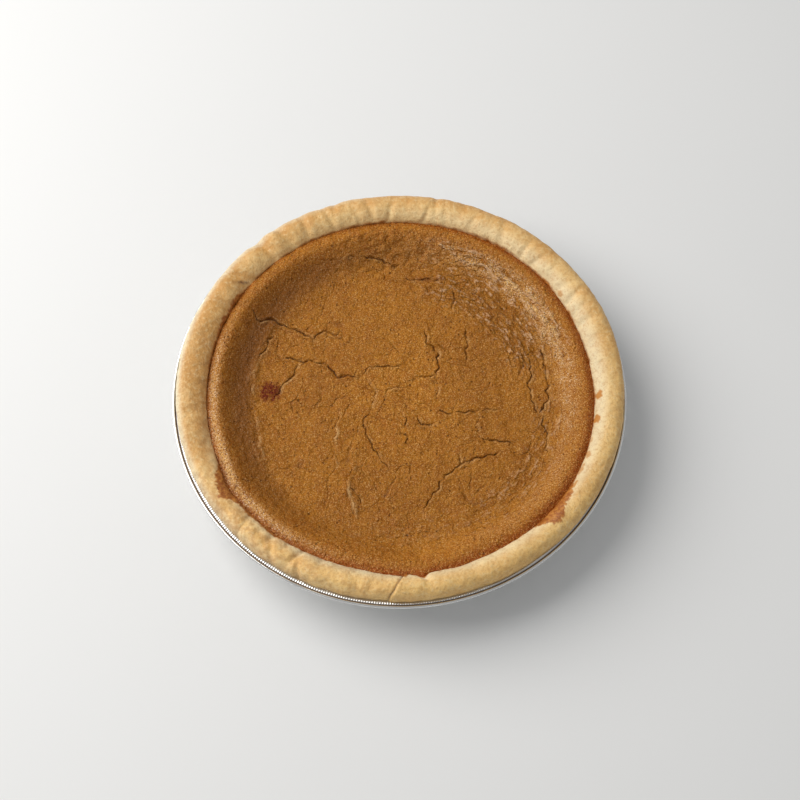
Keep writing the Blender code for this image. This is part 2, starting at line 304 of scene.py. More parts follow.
# Cracks: points, half width, depth, how far the surface to the left of the line stands up
CRACKS = [
    (
        [(-81, 49), (-78, 44), (-74, 44), (-68, 45), (-62, 42), (-57, 40), (-53, 38), (-50, 35), (-48, 33)],
        0.8,
        1.3,
        0.3,
    ),
    ([(-48, 33), (-45, 37), (-40, 39), (-36, 37), (-34, 37), (-32, 40)], 0.6, 0.7, 0.2),
    ([(-69, 37), (-72, 31), (-75, 26), (-77, 21)], 0.7, 1.0, 0.3),
    ([(-77, 21), (-80, 12), (-80, 2), (-77, -8)], 0.5, 0.4, 0.2),
    ([(-63, 22), (-57, 21.5), (-55, 20), (-50, 20), (-43, 19.5), (-40, 18.5)], 0.75, 1.4, 0.1),
    ([(-40, 18.5), (-36, 15), (-33, 11), (-28, 12), (-24, 10), (-20, 10)], 1.2, 1.2, 0.1),
    ([(-55, 20), (-57, 14), (-60, 10), (-64, 4), (-68, -1)], 0.7, 1.1, -0.5),
    ([(-20, 10), (-19, 13), (-17, 16), (-14, 17), (-9, 16.5), (-5, 17), (2, 17)], 0.6, 0.9, 0.2),
    ([(-20, 10), (-15, 6), (-13, 0), (-15, -5), (-15, -9)], 0.5, 0.5, 0.4),
    (
        [(-15, -9), (-18, -13), (-19, -19), (-17, -24), (-16, -28), (-13, -33), (-9, -39), (-6, -44)],
        0.7,
        1.0,
        0.3,
    ),
    ([(-8, 0), (-7, 2), (-4, 4), (0, 5), (3, 3)], 0.5, 0.6, 0.2),
    ([(14, 41), (15, 36), (15.5, 31), (19, 29), (22, 24), (21, 18), (20, 12)], 0.85, 1.6, 0.4),
    ([(20, 12), (15, 11), (10, 11)], 0.7, 1.1, 0.2),
    ([(20, 12), (20.5, 5), (21, -3)], 0.4, 0.4, 0.2),
    ([(36, 40), (37, 35), (38, 30), (37, 24), (37, 20)], 0.9, 1.4, 0.3),
    ([(30, 65), (30, 60), (29.5, 54), (28, 51)], 0.7, 1.1, 0.3),
    ([(2, 73), (8, 71), (14, 72), (19, 72), (25, 70)], 0.6, 0.7, 0.4),
    ([(-21, 84), (-13, 84.5), (-8, 83), (-4, 79), (0, 82)], 0.8, 1.2, 0.5),
    ([(-50, 77), (-40, 81), (-30, 84), (-21, 84)], 0.5, 0.4, 0.3),
    ([(57, -9), (50, -8), (44, -9)], 0.7, 0.6, 0.1),
    ([(44, -9), (38, -10), (28, -10.5), (20, -10.5)], 0.6, 1.0, 0.3),
    ([(1, -10), (3, -14), (4, -20)], 0.6, 1.0, 0.5),
    ([(0, -20), (4, -24), (5, -30)], 0.6, 1.0, 0.5),
    ([(10, -12), (12, -18), (16, -18), (20, -16)], 0.7, 1.0, 0.2),
    ([(71, 23), (72, 12), (70, 5), (71, -2), (73, -8), (76, -11)], 0.7, 0.9, -0.3),
    ([(77, 30), (79, 20), (80, 12), (81, 4), (80, -3), (78, -7), (76, -11)], 0.8, 1.4, 0.5),
    ([(76, -11), (77, -17), (79, -22), (79, -27), (77, -34)], 0.7, 1.0, 0.4),
    ([(42, -10), (42, -16), (42, -24)], 0.5, 0.5, 0.2),
    ([(42, -24), (46, -27), (52, -27), (57, -28), (61, -29)], 0.7, 1.1, 0.3),
    ([(53, -34), (46, -36), (38, -39), (33, -40), (32, -36)], 0.9, 1.3, 0.3),
    ([(33, -40), (30, -43), (24, -48), (20, -55), (16, -61), (13, -66)], 0.7, 1.1, 0.5),
    ([(-22, -41), (-24, -43), (-27, -48), (-28, -54), (-27, -60), (-25, -66), (-23, -70)], 0.6, 0.45, 2.3),
    ([(-27, -53), (-22, -57), (-19, -64)], 0.5, 0.6, 0.1),
    ([(-33, -10), (-34, -20), (-35, -32), (-35, -42)], 0.5, 0.6, 1.1),
    ([(0, -78), (2, -80), (6, -83)], 0.5, 0.6, 0.3),
    ([(-77, -8), (-77, -18), (-75, -28), (-73, -38)], 0.5, 0.3, 0.8),
    ([(-60, -12), (-57, -14), (-52, -14)], 0.4, 0.4, 0.1),
]


# Colours, as the shaders take them
FOIL_COLOURS = {
    "dull": (0.80, 0.80, 0.79),
    "bright": (0.88, 0.88, 0.87),
    # groove: painted shade and a painted dark reflection for the groove beside the bead
    "groove": (0.10, 0.045, 0.018),
}
PASTRY_COLOURS = {
    "pale": (0.93, 0.66, 0.30),
    "tan": (0.67, 0.33, 0.08),
    "painted_bounce_golden": (0.97, 0.61, 0.20),
    "painted_lit_cream": (0.84, 0.79, 0.58),
    "blotch": (0.50, 0.245, 0.075),
    "crumb_light": (0.93, 0.70, 0.36),
    "crumb_dark": (0.58, 0.28, 0.075),
    "grain": (0.48, 0.22, 0.06),
    "splash": (0.58, 0.235, 0.04),
    "spill_dark": (0.36, 0.10, 0.010),
    "spill_light": (0.58, 0.23, 0.04),
    "scorch": (0.10, 0.03, 0.012),
}
CUSTARD_COLOURS = {
    "deep": (0.43, 0.150, 0.006),
    "orange": (0.53, 0.195, 0.010),
    "mottle": (0.36, 0.105, 0.002),
    "ring": (0.35, 0.074, 0.002),
    "fine": (0.80, 0.38, 0.05),
    "grain": (0.20, 0.05, 0.002),
    "speck_dark": (0.19, 0.05, 0.003),
    "speck_light": (0.88, 0.45, 0.07),
    "pit": (0.14, 0.036, 0.003),
    # foot: painted shade for the foot of the left slope
    "foot": (0.20, 0.062, 0.003),
    # The next two are painted sheen and painted sparkles where the skin reflects the light
    "painted_sheen": (0.93, 0.56, 0.20),
    "painted_sparkle": (0.97, 0.80, 0.62),
    # crack: painted shade in the cracks
    "crack": (0.10, 0.026, 0.004),
    # crack_edge: painted highlight on the crack edges that face the light
    "crack_edge": (0.92, 0.60, 0.27),
    "glint": (0.80, 0.50, 0.29),
    "burnt": (0.13, 0.009, 0.001),
}
FLOOR_COLOURS = ((0.83, 0.83, 0.825), (0.85, 0.85, 0.845))

# Floor, light and camera, in metres and degrees
FLOOR_SIZE = 60
FLOOR_DROP = 0.0002
SKY_COLOUR = (0.97, 0.98, 0.985, 1.0)
SKY_STRENGTH = 0.38
KEY_DIRECTION = 158
KEY_RISE = 45
KEY_DISTANCE = 1.3
KEY_SIZE = 1.3
KEY_POWER = 16.5
KEY_COLOUR = (1.0, 0.985, 0.96)
CAMERA_LENS = 70.02
CAMERA_SENSOR = 36.0
CAMERA_NEAR = 0.05
CAMERA_PLACE = (0.00038, -0.363, 0.785)
CAMERA_TILT = 25.35


def smooth_step(low, high, value):
    share = np.clip((value - low) / (high - low), 0.0, 1.0)
    return share * share * (3 - 2 * share)


def hump(value, middle, half_width):
    return np.exp(-(((value - middle) / half_width) ** 2))


def blot(x, y, place, size, rough=0.0):
    """A spot of the given half sizes, with a ragged edge."""
    return np.exp(-(((x - place[0]) / size[0]) ** 2) - ((y - place[1]) / size[1]) ** 2 + rough)


def turn_between(one, other):
    return (one - other + math.pi) % math.tau - math.pi


def bell(angle, centre_degrees, half_width_degrees):
    away = turn_between(angle, math.radians(centre_degrees)) / math.radians(half_width_degrees)
    return np.exp(-away * away)


def make_noise(seed):
    """A gradient noise over three coordinates, about -0.7 to 0.7."""
    rng = np.random.default_rng(seed)
    table = np.concatenate([rng.permutation(256)] * 2)
    slopes = rng.normal(size=(256, 3))
    slopes /= np.linalg.norm(slopes, axis=1)[:, None]

    def noise(x, y, z):
        x, y, z = np.broadcast_arrays(x, y, z)
        spot = np.stack([x, y, z], axis=-1).astype(float)
        low = np.floor(spot).astype(int)
        part = spot - low
        fade = part * part * part * (part * (part * 6 - 15) + 10)
        total = 0
        for i in (0, 1):
            for j in (0, 1):
                for k in (0, 1):
                    corner = table[table[(low[..., 0] + i) & 255] + ((low[..., 1] + j) & 255)]
                    corner = table[corner + ((low[..., 2] + k) & 255)]
                    away = part - np.array([i, j, k])
                    weight = 1
                    for axis, side in enumerate((i, j, k)):
                        weight = weight * (fade[..., axis] if side else 1 - fade[..., axis])
                    total = total + weight * (slopes[corner] * away).sum(axis=-1)
        return total

    return noise


noise_a = make_noise(11)
noise_b = make_noise(23)
noise_c = make_noise(37)


def round_noise(noise, angle, steps, third):
    """A noise that runs round the pie without a join."""
    return noise(np.cos(angle) * steps, np.sin(angle) * steps, third)


def smooth_table(points, spread):
    """A smooth curve through a table of places and values, as two arrays."""
    places = np.linspace(points[0][0] - 5, points[-1][0] + 5, 4000)
    values = np.interp(places, [p[0] for p in points], [p[1] for p in points])
    step = places[1] - places[0]
    reach = np.arange(-4 * spread, 4 * spread + step, step)
    weights = np.exp(-0.5 * (reach / spread) ** 2)
    padded = np.pad(values, len(reach) // 2, mode="edge")
    smooth = np.convolve(padded, weights / weights.sum(), mode="same")
    return places, smooth[len(reach) // 2 :][: len(places)]


def add_piece(name, verts, faces, node, material, layers):
    """A mesh piece in metres from points in millimetres, with one value a point for each layer."""
    mesh = bpy.data.meshes.new(name)
    mesh.from_pydata((np.asarray(verts) * MM).tolist(), [], faces)
    for label, values in layers.items():
        values = np.asarray(values, dtype=np.float32)
        if values.ndim == 2:
            layer = mesh.attributes.new(label, "FLOAT_VECTOR", "POINT")
            layer.data.foreach_set("vector", values.reshape(-1))
        else:
            layer = mesh.attributes.new(label, "FLOAT", "POINT")
            layer.data.foreach_set("value", values)
    mesh.shade_smooth()
    mesh.materials.append(material)
    piece = bpy.data.objects.new(name, mesh)
    bpy.context.scene.collection.objects.link(piece)
    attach(piece, "root")
    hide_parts(node)


def turned_solid(radius, height, angle, bottom, top):
    """Points and faces of rows that run once round, closed by a point on the axis at each end."""
    rows, columns = radius.shape
    height = np.broadcast_to(height, radius.shape)
    verts = np.stack([radius * np.cos(angle), radius * np.sin(angle), height], axis=-1).reshape(-1, 3)
    last = len(verts)
    verts = np.concatenate([verts, [[0, 0, bottom], [0, 0, top]]])
    faces = []
    for row in range(rows - 1):
        here = row * columns
        after = here + columns
        for column in range(columns):
            other = (column + 1) % columns
            faces.append((here + column, here + other, after + other, after + column))
    top_row = (rows - 1) * columns
    for column in range(columns):
        other = (column + 1) % columns
        faces.append((last, other, column))
        faces.append((last + 1, top_row + column, top_row + other))
    return verts, faces


class Nodes:
    """Short ways to add shader nodes and link them."""

    def __init__(self, name):
        self.material = bpy.data.materials.new(name)
        self.material.use_nodes = True
        self.tree = self.material.node_tree
        self.shader = self.tree.nodes["Principled BSDF"]
        self.place = self.tree.nodes.new("ShaderNodeTexCoord").outputs["Object"]

    def feed(self, socket, value):
        if isinstance(value, bpy.types.NodeSocket):
            self.tree.links.new(value, socket)
        else:
            socket.default_value = value

    def set(self, label, value):
        self.feed(self.shader.inputs[label], value)

    def layer(self, label, output="Fac"):
        node = self.tree.nodes.new("ShaderNodeAttribute")
        node.attribute_name = label
        return node.outputs[output]

    def math(self, kind, one, other=0.5, clamp=False):
        node = self.tree.nodes.new("ShaderNodeMath")
        node.operation = kind
        node.use_clamp = clamp
        self.feed(node.inputs[0], one)
        self.feed(node.inputs[1], other)
        return node.outputs[0]

    def times(self, one, other, clamp=False):
        return self.math("MULTIPLY", one, other, clamp)

    def remap(self, value, low, high, to_low=0.0, to_high=1.0):
        node = self.tree.nodes.new("ShaderNodeMapRange")
        node.interpolation_type = "SMOOTHSTEP"
        labels = ("Value", "From Min", "From Max", "To Min", "To Max")
        for label, setting in zip(labels, (value, low, high, to_low, to_high)):
            self.feed(node.inputs[label], setting)
        return node.outputs["Result"]

    def noise(self, scale, detail=3.0, roughness=0.55, place=None):
        node = self.tree.nodes.new("ShaderNodeTexNoise")
        node.inputs["Scale"].default_value = scale
        node.inputs["Detail"].default_value = detail
        node.inputs["Roughness"].default_value = roughness
        self.feed(node.inputs["Vector"], place or self.place)
        return node.outputs["Fac"]

    def cells(self, scale):
        node = self.tree.nodes.new("ShaderNodeTexVoronoi")
        node.inputs["Scale"].default_value = scale
        self.feed(node.inputs["Vector"], self.place)
        return node.outputs["Distance"]

    def mix(self, share, one, other):
        node = self.tree.nodes.new("ShaderNodeMix")
        node.data_type = "RGBA"
        self.feed(node.inputs["Factor"], share)
        for socket, colour in zip((node.inputs[6], node.inputs[7]), (one, other)):
            self.feed(socket, (*colour, 1.0) if isinstance(colour, tuple) else colour)
        return node.outputs[2]

    def bump(self, height, distance, strength=1.0, base=None):
        node = self.tree.nodes.new("ShaderNodeBump")
        node.inputs["Strength"].default_value = strength
        node.inputs["Distance"].default_value = distance
        self.feed(node.inputs["Height"], height)
        if base:
            self.feed(node.inputs["Normal"], base)
        return node.outputs["Normal"]


def foil_material():
    m = Nodes("foil")
    tone = FOIL_COLOURS
    fine = m.noise(900, 2)
    broad = m.noise(60, 2)
    # Painted shade and a painted dark reflection in the groove beside the bead: darker and less metallic
    # there
    stain_and_shade = m.layer("stain_and_shade")
    colour = m.mix(m.remap(broad, 0.35, 0.7), tone["dull"], tone["bright"])
    m.set("Base Color", m.mix(stain_and_shade, colour, tone["groove"]))
    m.set("Metallic", m.math("SUBTRACT", 1.0, m.times(stain_and_shade, 0.8)))
    m.set("Roughness", m.remap(broad, 0.3, 0.7, 0.2, 0.3))
    normal = m.bump(broad, 0.0004, 0.25)
    m.set("Normal", m.bump(fine, 0.00003, 0.4, normal))
    return m.material


def pastry_material():
    m = Nodes("pastry")
    tone = PASTRY_COLOURS
    spill = m.layer("spill")
    grain = m.noise(1100, 4, 0.7)
    crumb = m.noise(500, 4, 0.7)
    mottle = m.noise(90, 3, 0.6)
    broad = m.noise(28, 2)
    tan = m.times(m.remap(m.layer("across"), 0.05, 0.75), 0.75)
    # Browning, with some painted shade on the left side of the rim
    tan = m.math("ADD", tan, m.times(m.layer("browning_and_shade"), 0.6))
    tan = m.math("ADD", tan, m.remap(mottle, 0.3, 0.72, -0.25, 0.3))
    tan = m.math("ADD", tan, m.remap(broad, 0.3, 0.7, -0.15, 0.15), clamp=True)
    colour = m.mix(tan, tone["pale"], tone["tan"])
    # Painted bounce light: the lighter golden colour
    painted_bounce_golden = m.times(m.layer("painted_bounce_golden"), m.remap(mottle, 0.3, 0.6, 1.0, 0.7))
    colour = m.mix(painted_bounce_golden, colour, tone["painted_bounce_golden"])
    # Painted highlight and painted light: the paler cream
    colour = m.mix(m.layer("painted_lit_cream"), colour, tone["painted_lit_cream"])
    blotch = m.times(m.layer("blotch"), m.remap(m.noise(190, 3, 0.6), 0.47, 0.6))
    colour = m.mix(m.times(blotch, 0.45), colour, tone["blotch"])
    colour = m.mix(m.remap(crumb, 0.48, 0.68, 0.0, 0.5), colour, tone["crumb_light"])
    colour = m.mix(m.remap(crumb, 0.5, 0.34, 0.0, 0.4), colour, tone["crumb_dark"])
    colour = m.mix(m.remap(grain, 0.48, 0.34, 0.0, 0.35), colour, tone["grain"])
    colour = m.mix(m.layer("splash"), colour, tone["splash"])
    spilt = m.mix(m.remap(crumb, 0.42, 0.6), tone["spill_dark"], tone["spill_light"])
    colour = m.mix(spill, colour, spilt)
    m.set("Base Color", m.mix(m.layer("stain_and_shade"), colour, tone["scorch"]))
    m.set("Roughness", m.remap(spill, 0.0, 1.0, 0.55, 0.4))
    m.set("Specular IOR Level", 0.55)
    normal = m.bump(crumb, 0.0007, 0.9)
    m.set("Normal", m.bump(grain, 0.00025, 0.9, normal))
    return m.material


def custard_material():
    m = Nodes("custard")
    tone = CUSTARD_COLOURS
    side = m.math("ABSOLUTE", m.layer("crack_side"))
    near = m.layer("crack_near")
    burnt = m.layer("burnt")
    wrinkled = m.layer("wrinkled")
    painted_sheen_layer = m.layer("painted_sheen")
    pit = m.times(m.remap(m.cells(330), 0.24, 0.08), m.remap(m.noise(120, 2), 0.46, 0.6))
    speck = m.noise(1650, 2, 0.75)
    grain = m.noise(1150, 3, 0.7)
    fine = m.noise(700, 3, 0.65)
    pebbles = m.noise(300, 2, 0.5)
    mottle = m.noise(150, 3, 0.6)
    broad = m.noise(30, 3)
    folds = m.noise(1, 2.5, 0.6, m.layer("fold_place", "Vector"))
    broken = m.times(m.remap(mottle, 0.38, 0.55, 0.5, 1.0), m.remap(fine, 0.36, 0.54, 0.35, 1.0))
    line = m.times(m.remap(side, 0.75, 0.1), near)
    cleft = m.times(m.remap(side, 1.3, 0.0), near)

    colour = m.mix(m.remap(broad, 0.32, 0.68), tone["deep"], tone["orange"])
    colour = m.mix(m.remap(mottle, 0.35, 0.75, 0.0, 0.7), colour, tone["mottle"])
    colour = m.mix(m.layer("ring"), colour, tone["ring"])
    colour = m.mix(m.remap(fine, 0.5, 0.68, 0.0, 0.35), colour, tone["fine"])
    colour = m.mix(m.remap(grain, 0.48, 0.34, 0.0, 0.7), colour, tone["grain"])
    colour = m.mix(m.remap(speck, 0.47, 0.34, 0.0, 0.5), colour, tone["speck_dark"])
    colour = m.mix(m.remap(speck, 0.54, 0.66, 0.0, 0.65), colour, tone["speck_light"])
    colour = m.mix(m.times(pit, 0.65), colour, tone["pit"])
    # Painted shade at the foot of the left slope
    colour = m.mix(m.times(m.layer("foot"), 0.75, clamp=True), colour, tone["foot"])
    # Painted sheen and sparkles: the lit crest at the left and the glossy slopes at the right
    painted_sheen = m.times(painted_sheen_layer, m.remap(grain, 0.36, 0.62))
    colour = m.mix(m.times(painted_sheen, 0.5, clamp=True), colour, tone["painted_sheen"])
    painted_sparkle = m.times(m.remap(speck, 0.56, 0.66), m.remap(painted_sheen_layer, 0.0, 0.9, 0.15, 0.9))
    colour = m.mix(painted_sparkle, colour, tone["painted_sparkle"])
    # Painted shade along the cracks and the faint plate edges: a dark line in each
    colour = m.mix(m.times(m.times(line, broken), 0.95), colour, tone["crack"])
    # Painted highlight on each crack's edge that faces the light
    pale = m.times(m.layer("pale"), m.remap(speck, 0.40, 0.56, 0.25, 1.0))
    colour = m.mix(m.times(pale, 0.8, clamp=True), colour, tone["crack_edge"])
    glint = m.times(m.remap(folds, 0.5, 0.66), m.times(wrinkled, m.remap(fine, 0.42, 0.56)))
    colour = m.mix(m.times(glint, 0.75), colour, tone["glint"])
    charred = m.times(burnt, m.remap(grain, 0.62, 0.45, 0.5, 1.0))
    m.set("Base Color", m.mix(charred, colour, tone["burnt"]))

    m.set("Roughness", m.math("ADD", m.remap(wrinkled, 0.0, 1.0, 0.46, 0.36), m.times(burnt, 0.4)))
    m.set("Specular IOR Level", 0.17)
    m.set("Coat Weight", 0.12)
    m.set("Coat Roughness", 0.22)
    normal = m.bump(m.times(m.remap(folds, 0.3, 0.7), wrinkled), 0.0013, 0.9)
    normal = m.bump(pebbles, 0.0019, 0.9, normal)
    normal = m.bump(fine, 0.0010, 1.0, normal)
    normal = m.bump(speck, 0.00042, 1.0, normal)
    normal = m.bump(pit, -0.0006, 0.8, normal)
    normal = m.bump(m.times(cleft, broken), -0.0012, 0.9, normal)
    m.set("Normal", normal)
    m.set("Coat Normal", normal)
    return m.material


def contact_radius(angle):
    return CONTACT_RADIUS + sum(bell(angle, centre, width) * size for centre, width, size in CONTACT_WAVES)


def contact_height(angle):
    return CONTACT_HEIGHT + CONTACT_SLOPE * (contact_radius(angle) - CONTACT_RADIUS)


def tin_wall_radius(height):
    low = TIN_CORNER
    high = TIN_DEPTH - TIN_FLANGE_BEND
    share = (height - low) / (high - low)
    return TIN_WALL_FOOT_RADIUS + share * (TIN_WALL_TOP_RADIUS - TIN_WALL_FOOT_RADIUS)


def spread_rows(points, counts):
    """More points along a section, the given number for each leg."""
    rows = [points[0]]
    for (r0, z0), (r1, z1), count in zip(points, points[1:], counts):
        for step in range(1, count + 1):
            rows.append((r0 + (r1 - r0) * step / count, z0 + (z1 - z0) * step / count))
    return rows


def tin_section():
    """The tin's section as points of radius and height, under the sheet, round the bead, over the sheet."""
    wall_top = TIN_DEPTH - TIN_FLANGE_BEND
    under_edge = TIN_DEPTH - TIN_SHEET
    edge_end = TIN_RADIUS - 2 * BEAD_RADIUS
    under = [
        (TIN_HUB, 0.0),
        (TIN_FLOOR_RADIUS, 0.0),
        (TIN_FLOOR_RADIUS + 1.2, 0.2),
        (TIN_FLOOR_RADIUS + 2.6, 1.0),
        (TIN_WALL_FOOT_RADIUS + TIN_SLANT, TIN_CORNER),
        (TIN_WALL_TOP_RADIUS + TIN_SLANT - 0.2, wall_top - 0.5),
        (TIN_WALL_TOP_RADIUS + TIN_SLANT + 0.9, under_edge),
        (edge_end, under_edge),
    ]
    bead = []
    for turn in np.linspace(-120, 205, 12):
        out = BEAD_RADIUS * math.cos(math.radians(turn))
        up = BEAD_RADIUS * math.sin(math.radians(turn))
        bead.append((TIN_RADIUS - BEAD_RADIUS + out, TIN_DEPTH + BEAD_RISE + up))
    over = [
        (edge_end - 0.05, TIN_DEPTH - 0.28),
        (edge_end - 0.45, TIN_DEPTH - 0.1),
        (edge_end - 0.9, TIN_DEPTH),
        (TIN_WALL_TOP_RADIUS + 1.6, TIN_DEPTH),
        (TIN_WALL_TOP_RADIUS, wall_top),
        (TIN_WALL_FOOT_RADIUS, TIN_CORNER),
        (TIN_FLOOR_RADIUS - 0.4, TIN_SHEET),
        (TIN_HUB, TIN_SHEET),
    ]
    return spread_rows(under, (1, 1, 1, 1, 4, 1, 3)), bead, spread_rows(over, (1, 1, 4, 1, 1, 1, 1))


def make_tin(material):
    under, bead, over = tin_section()
    edge_end = TIN_RADIUS - 2 * BEAD_RADIUS
    bead_height = TIN_DEPTH + BEAD_RISE
    section = np.array(under + bead + over)
    columns = RIBS * RIB_STEPS
    angle = np.arange(columns) * math.tau / columns
    radius = section[:, :1]
    height = section[:, 1:]
    ribs = np.sin(angle * RIBS)[None, :] * RIB_DEPTH
    on_edge = smooth_step(TIN_WALL_TOP_RADIUS + 0.5, TIN_WALL_TOP_RADIUS + 2.5, radius)
    past_edge = smooth_step(edge_end - 0.6, edge_end + 0.1, radius)
    on_wall = smooth_step(TIN_FLOOR_RADIUS + 1, TIN_FLOOR_RADIUS + 5, radius) * (1 - on_edge)
    below = smooth_step(bead_height + 0.1, bead_height - 0.5, height) * past_edge
    height = height + ribs * (on_edge * (1 - past_edge) * 0.9 + 0.6 * on_wall)
    strength = 1 + 1.2 * round_noise(noise_a, angle, 9, 3.5)[None, :]
    folds = np.abs(np.sin(angle * RIBS / RIBS_IN_TWO_PLEATS))[None, :] ** 0.7
    pleats = WALL_PLEAT * np.clip(strength, 0.3, 1.6) * folds
    outside = (np.arange(len(section)) < len(under))[:, None]
    radius = radius - np.abs(ribs) * (0.8 * on_wall + 0.9 * below) + pleats * on_wall * outside
    verts, faces = turned_solid(radius, height, angle, 0.0, TIN_SHEET)

    # Painted shade and dark reflection: a dark brown, less metallic ring in the groove beside the bead
    beside_bead = np.arange(len(section)) >= len(under) + len(bead) - 3
    groove = smooth_step(edge_end - 0.75, edge_end - 0.35, section[:, 0]) * beside_bead
    stain_and_shade = np.repeat(groove[:, None], columns, axis=1).reshape(-1) * 0.97
    add_piece("tin_foil", verts, faces, "tin", material, {"stain_and_shade": np.append(stain_and_shade, [0, 0])})


def rim_relief(angle, share):
    """How far the pastry stands proud of its turned shape, and how far each point is past its overlap."""
    turn_x = np.cos(angle) * ROLL_CENTRE_RADIUS
    turn_y = np.sin(angle) * ROLL_CENTRE_RADIUS
    across = share * ROLL_ARC
    reach = np.sqrt(np.sin(math.pi * np.clip(0.15 + 0.8 * share, 0, 1)))
    relief = RIM_RISE_FAR * bell(angle, 90, 55)
    relief = relief + 0.75 * noise_a(turn_x / 24, turn_y / 24, across / 30)
    lumpy = 0.5 + 0.5 * bell(angle, 232, 35)
    relief = relief + lumpy * noise_b(turn_x / 8, turn_y / 8, across / 9)
    for centre, width, depth, where in VALLEYS:
        lean = math.radians(4.5) * (share - where) * math.sin(centre * 1.7)
        valley = VALLEY_SCALE * depth * bell(angle + lean, centre, width)
        relief = relief - valley * hump(share, where, VALLEY_REACH)
    relief = relief * reach
    knobbly = 0.38 + 0.3 * bell(angle, 232, 38)
    relief = relief + knobbly * noise_c(turn_x / 4.2, turn_y / 4.2, across / 4.2)
    relief = relief + 0.16 * noise_a(turn_x / 1.8, turn_y / 1.8, across / 1.8)
    seam = SEAM_INNER + (SEAM_OUTER - SEAM_INNER) * smooth_step(0.1, 0.95, share)
    past = turn_between(angle, seam) * ROLL_CENTRE_RADIUS + 0.5 * noise_b(across / 4, 0.0, 5.5)
    bulge = SEAM_STEP * smooth_step(0.0, 1.2, past) * np.exp(-np.clip(past, 0, None) / SEAM_FADE)
    groove = 0.9 * hump(past, 0, 0.55) * smooth_step(1.0, 0.75, share)
    return relief + (bulge - groove) * np.sqrt(np.sin(math.pi * np.clip(0.08 + 0.86 * share, 0, 1))), past


def side_touches(angle, across, touches):
    """Touches of colour that each come in between two places across the rim, added up."""
    total = 0
    for strength, centre, width, low, high in touches:
        total = total + strength * bell(angle, centre, width) * smooth_step(low, high, across)
    return total


def pastry_layers(angle, radius, across, meet, past):
    """What the pastry's shader reads at each point: places, browning with some painted shade, painted light,
    splashes and marks.
    """
    wander = round_noise(noise_b, angle, 9, 4.4) + 0.5 * round_noise(noise_a, angle, 33, radius / 5)
    reach = sum(bell(angle, centre, width) * size for centre, width, size in SPILLS)
    ragged = round_noise(noise_c, angle, 70, radius / 1.6) * np.clip(reach, 0, 2)
    spill = smooth_step(0.4, -0.4, radius - meet - reach - 1.1 * wander - 1.5 * ragged)
    splash = np.zeros_like(spill)
    rough = 1.6 * round_noise(noise_a, angle, 45, radius / 2)
    for centre, where, length, width, strength in SPLASHES:
        along = turn_between(angle, math.radians(centre)) * where / length
        away = along**2 + ((radius - where) / width) ** 2 + rough
        splash = np.maximum(splash, strength * smooth_step(1.1, 0.5, away))

    seam_line = hump(past, -0.1, 0.5) * smooth_step(1.0, 0.8, across)
    slant = turn_between(angle, SCORCH_DIRECTION) * SCORCH_TURN_RADIUS - 1.1 * (radius - SCORCH_TURN_RADIUS)
    ragged_mark = 0.9 * round_noise(noise_b, angle, 75, radius / 1.4)
    scorch = blot(slant, radius, (0, SCORCH_RADIUS), SCORCH_SIZE, ragged_mark)
    # On the pastry this layer carries only real marks: the scorch and the seam's dark line
    stain_and_shade = np.clip(0.75 * scorch + 0.55 * seam_line, 0, 1)

    browning_and_shade = side_touches(angle, across, BROWN_SIDES)
    for strength, centre, width, middle, half_width in BROWN_BANDS:
        browning_and_shade = browning_and_shade + strength * bell(angle, centre, width) * hump(across, middle, half_width)
    for centre, width, strength in STREAKS:
        browning_and_shade = browning_and_shade + strength * bell(angle, centre, width) * smooth_step(STREAK_FROM, STREAK_TO, across)
    # Painted highlight on the sides that face the light
    painted_lit_cream = side_touches(angle, across, LIT_CREAM_SIDES)
    # Painted bounce light on the near flanks, the near left and the far inner side
    painted_bounce_golden = side_touches(angle, across, BOUNCE_GOLDEN_SIDES) + 0.5 * bell(angle, 245, 40)
    blotch = 0.25 + 1.2 * bell(angle, 170, 22) * hump(across, 0.14, 0.2) + 0.75 * bell(angle, 230, 38)
    blotch = blotch + 0.4 * bell(angle, 330, 40) * smooth_step(0.4, 0.7, across)
    return {
        "across": across,
        "spill": spill,
        "splash": splash,
        "stain_and_shade": stain_and_shade,
        "browning_and_shade": browning_and_shade,
        "painted_bounce_golden": np.clip(painted_bounce_golden, 0, 1),
        "painted_lit_cream": painted_lit_cream,
        "blotch": blotch,
    }


